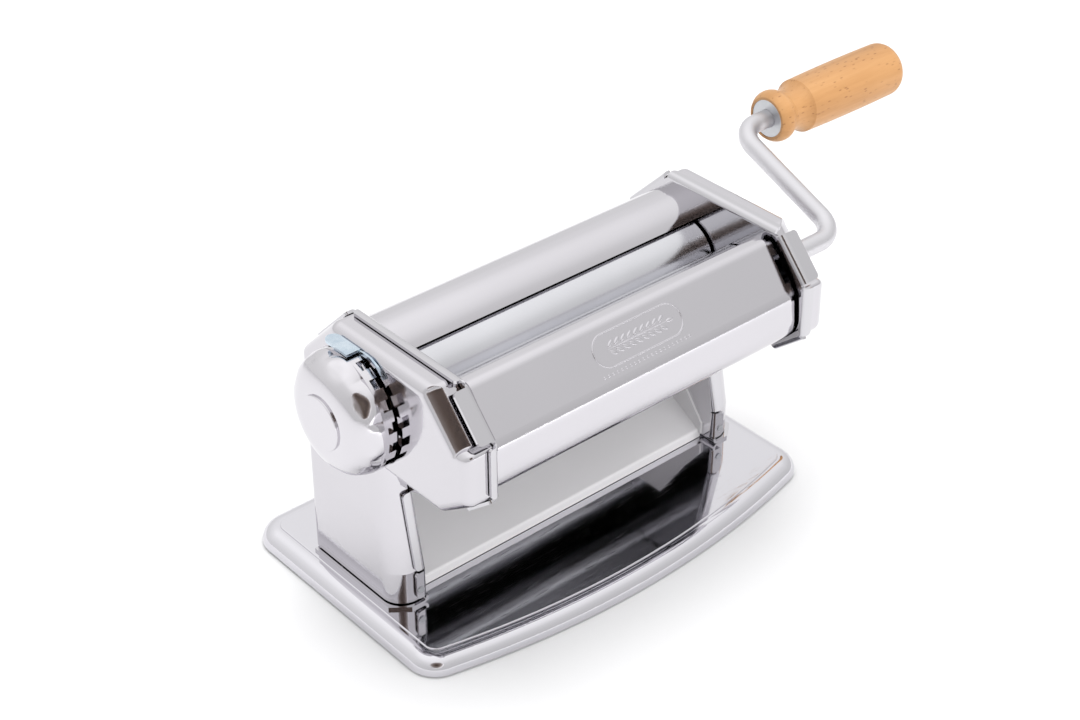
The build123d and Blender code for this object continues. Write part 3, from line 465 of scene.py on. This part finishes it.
def make_catch():
    work = bmesh.new()
    low_x, high_x = (x * MM for x in CATCH_X)
    add_pierced_plate(work, CATCH_UPRIGHT, CATCH_PIVOT, CATCH_HOLE_R, (low_x, high_x))
    front, rear = CATCH_LEDGE_Y
    radius = (CATCH_X[1] - CATCH_LEDGE_X) / 2
    middle = (CATCH_X[1] + CATCH_LEDGE_X) / 2
    plan = [(CATCH_LEDGE_X, front), (CATCH_X[1], front)]
    for i in range(LEDGE_STEPS + 1):
        angle = pi * i / LEDGE_STEPS
        plan.append((middle + radius * cos(angle), rear - radius + radius * sin(angle)))
    add_prism(work, *[[(x * MM, y * MM, z * MM) for x, y in plan] for z in CATCH_TOP])
    left, right = [], []
    for k, (y, z) in enumerate(CATCH_TAIL):
        ahead = CATCH_TAIL[min(k + 1, len(CATCH_TAIL) - 1)]
        behind = CATCH_TAIL[max(k - 1, 0)]
        along = Vector((ahead[0] - behind[0], ahead[1] - behind[1])).normalized()
        half = TAIL_WIDTH / 2 * (1 - TAIL_TAPER * k / (len(CATCH_TAIL) - 1))
        left.append((y - along.y * half, z + along.x * half))
        right.append((y + along.y * half, z - along.x * half))
    for k in range(len(left) - 1):
        quad = [left[k], left[k + 1], right[k + 1], right[k]]
        add_prism(work, *[[(x, y * MM, z * MM) for y, z in quad] for x in (low_x, high_x)])
    bmesh.ops.recalc_face_normals(work, faces=work.faces)
    mesh = bpy.data.meshes.new("catch_bent")
    work.to_mesh(mesh)
    work.free()
    catch = piece("catch_bent", mesh, ZINC, "catch")
    catch.data.set_sharp_from_angle(angle=radians(30))
    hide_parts("catch_plate")


# The front cover's embossed badge: a plain oval frame, an ear of grain and a row of beads.
SLOPE_TOP = (-45.0 * MM, 118.9 * MM)
SLOPE_FOOT = (-60.4 * MM, 100.4 * MM)
BADGE_SINK = 0.05 * MM  # how far the badge's pieces reach into the cover
FRAME_END_STEPS = 24
FRAME_SECTION_STEPS = 8


def slope_point(x, down, rise):
    """A point on the front cover's slope: down from its top bend, rise off its surface."""
    run = Vector((0, SLOPE_FOOT[0] - SLOPE_TOP[0], SLOPE_FOOT[1] - SLOPE_TOP[1])).normalized()
    out = Vector((0, run.z, -run.y))
    return Vector((x, *SLOPE_TOP)) + run * down + out * rise


def make_frame_bead(name, middle, half_x, half_s, width, rise):
    """A raised bead along a long round-ended outline on the slope."""
    path = []
    straight = half_x - half_s
    for side in (1, -1):
        for i in range(FRAME_END_STEPS + 1):
            angle = side * pi / 2 - pi * i / FRAME_END_STEPS
            path.append((side * straight + half_s * cos(angle), half_s * sin(angle)))
    rows = []
    for k, (x, s) in enumerate(path):
        ahead = path[(k + 1) % len(path)]
        behind = path[k - 1]
        along = Vector((ahead[0] - behind[0], ahead[1] - behind[1])).normalized()
        row = []
        for step in range(FRAME_SECTION_STEPS + 1):
            angle = pi * step / FRAME_SECTION_STEPS
            side = -cos(angle) * width / 2
            lift = sin(angle) * rise - BADGE_SINK
            row.append(
                slope_point(middle[0] + x - along.y * side, middle[1] + s + along.x * side, lift)
            )
        rows.append(row)
    mesh = outward(grid_mesh(name, rows))
    piece(name, mesh, CHROME, "frame")


def make_bumps(name, spots):
    """Low raised grains on the slope; a spot is (x, down, half length, half width, tilt, rise)."""
    mesh = bpy.data.meshes.new(name)
    points = []
    faces = []
    around = 20
    levels = 5
    for x, down, long, wide, tilt, rise in spots:
        first = len(points)
        for level in range(levels):
            angle = level / levels * pi / 2
            for j in range(around):
                turn = 2 * pi * j / around
                pinch = 1 - 0.25 * abs(cos(turn)) ** 3
                u = long * cos(angle) * cos(turn)
                v = wide * cos(angle) * sin(turn) * pinch
                px = x + u * cos(tilt) - v * sin(tilt)
                ps = down + u * sin(tilt) + v * cos(tilt)
                points.append(slope_point(px, ps, rise * sin(angle) - BADGE_SINK))
        points.append(slope_point(x, down, rise - BADGE_SINK))
        top = len(points) - 1
        for level in range(levels - 1):
            for j in range(around):
                k = (j + 1) % around
                a = first + level * around
                faces.append((a + j, a + k, a + around + k, a + around + j))
        a = first + (levels - 1) * around
        faces += [(a + j, a + (j + 1) % around, top) for j in range(around)]
        faces.append(tuple(first + j for j in reversed(range(around))))
    mesh.from_pydata([tuple(p) for p in points], [], faces)
    piece(name, outward(mesh), CHROME, "frame")


# The end covers: pressed sheet whose set-back front has a broad bevel under the face.
HEAD = {
    "rear_top": (13.5, 123.6),
    "front_top": (-49.0, 123.6),
    "front_bend": (-65.0, 106.3),
    "front_foot": (-65.2, 82.4),
    "under": (-51.0, 70.6),
    "rear_low": (37.0, 100.1),
}
COVER_CLEAR = 1.6
COVER_STEP = 5.6  # set-back of the sloping front from the side plate's flange
COVER_STEP_Z = 104.4
COVER_DEPTH = 11.8
COVER_SHEET = 0.8
COVER_FOOT_Z = 71.6
HOLE_STEPS = 48
KNOB_HOLE = (-2.0, 94.5, 7.5)
CATCH_PIN_HOLE = (*CATCH_PIVOT, 2.0)
CRANK_HOLE = (-32.0, 94.5, 5.0)


def inset(points, widths):
    """The outline through (Y, Z) points with each edge moved inward by its own width."""
    count = len(points)
    lines = []
    for i in range(count):
        (y0, z0), (y1, z1) = points[i], points[(i + 1) % count]
        length = hypot(y1 - y0, z1 - z0)
        normal = ((z1 - z0) / length * -1, (y1 - y0) / length)
        lines.append((normal, normal[0] * y0 + normal[1] * z0 + widths[i]))
    corners = []
    for i in range(count):
        (a, p), (b, q) = lines[i - 1], lines[i]
        det = a[0] * b[1] - a[1] * b[0]
        corners.append(((p * b[1] - q * a[1]) / det, (a[0] * q - b[0] * p) / det))
    return corners


def cover_outline():
    """The end cover's open edge, run anticlockwise seen from +X."""
    clear = COVER_CLEAR
    names = ["rear_top", "front_top", "front_bend", "front_foot", "under", "rear_low"]
    head = inset([HEAD[n] for n in names], [clear, COVER_STEP, clear, clear, 0.0, clear])
    top_y, top_z = head[1]
    run = (HEAD["front_top"][0] - HEAD["front_bend"][0]) / (
        HEAD["front_top"][1] - HEAD["front_bend"][1]
    )
    rear_y = HEAD["rear_low"][0] - 3.0
    return [
        head[0],
        head[1],
        (top_y - (top_z - COVER_STEP_Z) * run, COVER_STEP_Z),
        (HEAD["front_bend"][0] + clear, COVER_STEP_Z),
        (HEAD["front_foot"][0] + clear, head[3][1]),
        (HEAD["under"][0] + 3.4, COVER_FOOT_Z),
        (rear_y, COVER_FOOT_Z),
        (rear_y, sum(HEAD["rear_top"]) - clear * sqrt(2) - rear_y),
    ]


BEVEL_EDGE = 1  # the sloping front, from front_top to the step
# Each bend is (turn in degrees, radius). The middle, wide one makes the nearly flat bevel.
BEVEL = [(29, 2.6), (8, 40.0), (53, 3.2)]
ROUND = [(90, 4.4)]
BEND_STEPS = 24
LEDGE_R = 1.8  # corner where the step's short ledge meets the upright front
CORNER_STEPS = 12


def bend_profile(bends):
    """Points (inward, outward) of a wall that turns through the bends into the face."""
    inward = 0.0
    outward = 0.0
    angle = 0.0
    path = [(0.0, 0.0)]
    total = sum(radians(turn) * radius for turn, radius in bends)
    lengths = [(radians(turn) * radius, radius) for turn, radius in bends]
    step = total / (BEND_STEPS * 8)
    for length, radius in lengths:
        for _ in range(round(length / step)):
            angle += step / radius
            inward += sin(angle) * step
            outward += cos(angle) * step
            path.append((inward, outward))
    picks = [path[round(i * (len(path) - 1) / BEND_STEPS)] for i in range(BEND_STEPS + 1)]
    rise = COVER_DEPTH - picks[-1][1]
    wall = [(0.0, 0.0), (0.0, rise * 0.5), (0.0, rise - 0.3)]
    face = [(picks[-1][0] + 0.4, COVER_DEPTH), (picks[-1][0] + 0.9, COVER_DEPTH)]
    return wall + [(d, h + rise) for d, h in picks] + face


def cover_ring(outline, profiles, level):
    """One ring of the cover: the inset outline with rounded corners, as (X, Y, Z) in mm."""
    count = len(outline)
    widths = [profiles[i][level][0] for i in range(count)]
    heights = [profiles[i][level][1] for i in range(count)]
    corners = inset(outline, widths)
    ring = []
    for i in range(count):
        here = Vector(corners[i])
        back = (Vector(corners[i - 1]) - here).normalized()
        ahead = (Vector(corners[(i + 1) % count]) - here).normalized()
        convex = back.x * ahead.y - back.y * ahead.x < 0
        width = (widths[i - 1] + widths[i]) / 2
        radius = max(4.2 - 0.5 * width, 1.6) if convex else 1.4 + 0.1 * width
        if i == BEVEL_EDGE + 2:
            radius = LEDGE_R
        half = back.angle(ahead) / 2
        trim = radius / tan(half)
        middle = (back + ahead).normalized()
        centre = here + middle * (radius / sin(half))
        sweep = pi - 2 * half
        start = here + back * trim - centre
        turn = 1 if convex else -1
        low, high = heights[i - 1], heights[i]
        ring.append((low, *(here + back * (trim + 0.3))))
        for k in range(CORNER_STEPS + 1):
            angle = turn * sweep * k / CORNER_STEPS
            point = centre + Vector(
                (
                    start.x * cos(angle) - start.y * sin(angle),
                    start.x * sin(angle) + start.y * cos(angle),
                )
            )
            blend = smoothstep(0, 1, k / CORNER_STEPS)
            ring.append((low + (high - low) * blend, *point))
        ring.append((high, *(here + ahead * (trim + 0.3))))
    return ring


def make_end_cover(side, node, holes):
    """An end cover; side is 1 on the right and -1 on the left, holes are (Y, Z, radius)."""
    low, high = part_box(node)
    open_x = (low.x if side > 0 else -high.x) / MM
    outline = cover_outline()
    profiles = [bend_profile(BEVEL if i == BEVEL_EDGE else ROUND) for i in range(len(outline))]
    work = bmesh.new()
    rings = []
    for level in range(len(profiles[0])):
        ring = cover_ring(outline, profiles, level)
        rings.append(
            [work.verts.new((side * (open_x + x) * MM, y * MM, z * MM)) for x, y, z in ring]
        )
    for lower, upper in zip(rings, rings[1:]):
        for j in range(len(lower)):
            k = (j + 1) % len(lower)
            work.faces.new((lower[j], lower[k], upper[k], upper[j]))
    face_x = side * (open_x + COVER_DEPTH) * MM
    loops = [rings[-1]]
    for y, z, radius in holes:
        spots = [
            (
                face_x,
                (y + radius * cos(2 * pi * i / HOLE_STEPS)) * MM,
                (z + radius * sin(2 * pi * i / HOLE_STEPS)) * MM,
            )
            for i in range(HOLE_STEPS)
        ]
        loops.append([work.verts.new(spot) for spot in spots])
    edges = []
    for loop in loops:
        for j in range(len(loop)):
            pair = (loop[j], loop[(j + 1) % len(loop)])
            edges.append(work.edges.get(pair) or work.edges.new(pair))
    bmesh.ops.triangle_fill(work, edges=edges, use_beauty=True, normal=(side, 0, 0))
    bmesh.ops.recalc_face_normals(work, faces=work.faces)
    mesh = bpy.data.meshes.new(f"{node}_sheet")
    work.to_mesh(mesh)
    work.free()
    cover = piece(f"{node}_sheet", thick(mesh, COVER_SHEET * MM, side), CHROME, "frame")
    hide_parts(node)


def thick(mesh, sheet, side):
    """The open mesh given a wall thickness on its inner side, with its cut edges left sharp."""
    outer = max(mesh.polygons, key=lambda face: face.area if abs(face.normal.x) > 0.9 else 0)
    if outer.normal.x * side < 0:
        mesh.flip_normals()
    holder = bpy.data.objects.new("holder", mesh)
    bpy.context.scene.collection.objects.link(holder)
    modifier = holder.modifiers.new("sheet", "SOLIDIFY")
    modifier.thickness = sheet
    modifier.offset = -1
    graph = bpy.context.evaluated_depsgraph_get()
    finished = bpy.data.meshes.new_from_object(holder.evaluated_get(graph), depsgraph=graph)
    bpy.data.objects.remove(holder)
    for face in finished.polygons:
        face.use_smooth = True
    finished.set_sharp_from_angle(angle=radians(38))
    return finished


GRAIN_PAIRS = 9
GRAIN_TILT = 0.62  # radians
BEADS = 21


def make_badge():
    middle = (0.5 * MM, 10.7 * MM)
    make_frame_bead("badge_frame", middle, 21.4 * MM, 6.3 * MM, 0.75 * MM, 0.32 * MM)
    spots = [(middle[0], middle[1], 15.5 * MM, 0.35 * MM, 0.0, 0.3 * MM)]
    for i in range(GRAIN_PAIRS):
        x = middle[0] + (-12.8 + 3.1 * i) * MM
        for side in (-1, 1):
            down = middle[1] + side * 1.75 * MM
            spots.append((x, down, 1.9 * MM, 0.75 * MM, side * GRAIN_TILT, 0.4 * MM))
    spots.append((middle[0] + 15.6 * MM, middle[1], 1.9 * MM, 0.8 * MM, 0.0, 0.4 * MM))
    make_bumps("badge_ear", spots)
    row = [(-20.5 * MM + 42 * MM * i / (BEADS - 1), 19.3 * MM) for i in range(BEADS)]
    make_bumps(
        "badge_beads", [(x, s, 0.62 * MM, 0.62 * MM, 0.0, 0.3 * MM) for x, s in row]
    )


make_knob_shell()
make_catch()
make_end_cover(-1, "left_end_cover", [KNOB_HOLE, CATCH_PIN_HOLE])
make_end_cover(1, "right_end_cover", [CRANK_HOLE])
make_badge()


# --- floor, light and camera --------------------------------------------------------------
FLOOR_HALF = 6.0
CARD_RADIUS = 0.42
CARD_DISTANCE = 1.15
TOWARD_CAMERA = (-0.543, -0.627, 0.559)
CAMERA_TURN = radians(-40.9)
CAMERA_RISE = radians(34.0)


def make_floor():
    mesh = bpy.data.meshes.new("floor")
    half = FLOOR_HALF
    corners = [(-half, -half, 0), (half, -half, 0), (half, half, 0), (-half, half, 0)]
    mesh.from_pydata(corners, [], [(0, 1, 2, 3)])
    floor = bpy.data.objects.new("floor", mesh)
    bpy.context.scene.collection.objects.link(floor)
    mat, _, shader = material("floor_white", (0.72, 0.72, 0.725), 0.0, 0.9)
    shader.inputs["Specular IOR Level"].default_value = 0.1
    floor.data.materials.append(mat)


def area_light(name, position, target, size, power):
    data = bpy.data.lights.new(name, "AREA")
    data.shape = "RECTANGLE"
    data.size, data.size_y = size
    data.energy = power
    light = bpy.data.objects.new(name, data)
    light.location = position
    direction = Vector(target) - Vector(position)
    light.rotation_euler = direction.to_track_quat("-Z", "Y").to_euler()
    bpy.context.scene.collection.objects.link(light)
    return light


def make_world():
    """A pale studio: brightest overhead and behind, greyer in front and near the horizon."""
    world = bpy.data.worlds.new("studio")
    world.use_nodes = True
    tree = world.node_tree
    background = tree.nodes["Background"]
    coords = tree.nodes.new("ShaderNodeTexCoord")
    split = tree.nodes.new("ShaderNodeSeparateXYZ")
    tree.links.new(coords.outputs["Generated"], split.inputs["Vector"])
    height = ramp(
        tree,
        split.outputs["Z"],
        [(0.0, 0.72), (0.35, 0.78), (0.62, 0.88), (0.85, 1.12), (1.0, 1.2)],
    )
    shift = tree.nodes.new("ShaderNodeMath")
    shift.operation = "MULTIPLY_ADD"
    shift.inputs[1].default_value = 0.5
    shift.inputs[2].default_value = 0.5
    tree.links.new(split.outputs["Y"], shift.inputs[0])
    depth = ramp(tree, shift.outputs[0], [(0.1, 0.90), (0.5, 0.97), (0.85, 1.12)])
    tree.links.new(mix(tree, "MULTIPLY", 1.0, height, depth), background.inputs["Color"])
    background.inputs["Strength"].default_value = 1.12
    bpy.context.scene.world = world


def make_camera_card():
    """The dark end of the room around the camera, which mirror finishes pick up."""
    mesh = bpy.data.meshes.new("dark_card")
    count = 48
    turns = [2 * pi * i / count for i in range(count)]
    rim = [(CARD_RADIUS * cos(turn), CARD_RADIUS * sin(turn), 0) for turn in turns]
    mesh.from_pydata(rim, [], [tuple(range(count))])
    card = bpy.data.objects.new("dark_card", mesh)
    card.location = Vector(TOWARD_CAMERA) * CARD_DISTANCE
    card.rotation_euler = (-card.location).to_track_quat("Z", "Y").to_euler()
    bpy.context.scene.collection.objects.link(card)
    card.visible_camera = False
    card.visible_diffuse = False
    card.visible_shadow = False
    mat, tree, shader = material("card_brown", (0.05, 0.035, 0.028), 0.0, 0.9)
    distance = tree.nodes.new("ShaderNodeVectorMath")
    distance.operation = "LENGTH"
    across = object_coordinates(tree, scale=(1 / CARD_RADIUS, 1 / CARD_RADIUS, 1))
    tree.links.new(across, distance.inputs[0])
    tone = ramp(
        tree,
        distance.outputs["Value"],
        [
            (0.0, (0.035, 0.026, 0.022)),
            (0.35, (0.10, 0.072, 0.058)),
            (0.70, (0.26, 0.23, 0.215)),
            (1.0, (0.82, 0.82, 0.82)),
        ],
    )
    tree.links.new(tone, shader.inputs["Base Color"])
    card.data.materials.append(mat)


def make_camera():
    data = bpy.data.cameras.new("camera")
    data.sensor_width = 36.0
    data.lens = 69.27
    camera = bpy.data.objects.new("camera", data)
    camera.location = (-0.4369, -0.5027, 0.5228)
    back = Vector(
        (
            sin(CAMERA_TURN) * cos(CAMERA_RISE),
            -cos(CAMERA_TURN) * cos(CAMERA_RISE),
            sin(CAMERA_RISE),
        )
    )
    right = Vector((cos(CAMERA_TURN), sin(CAMERA_TURN), 0))
    up = back.cross(right)
    turn = Matrix((right, up, back)).transposed()
    camera.rotation_euler = turn.to_euler()
    bpy.context.scene.collection.objects.link(camera)
    bpy.context.scene.camera = camera


make_floor()
make_world()
make_camera_card()
key = area_light("key", (0.08, 0.2, 1.5), (0, 0, 0.05), (1.1, 1.1), 14.4)
key.visible_glossy = False
fill = area_light("fill", (0.1, -1.2, 0.25), (0, 0, 0.03), (1.4, 0.4), 14)
fill.visible_glossy = False
make_camera()
bpy.context.scene.view_settings.view_transform = "Standard"
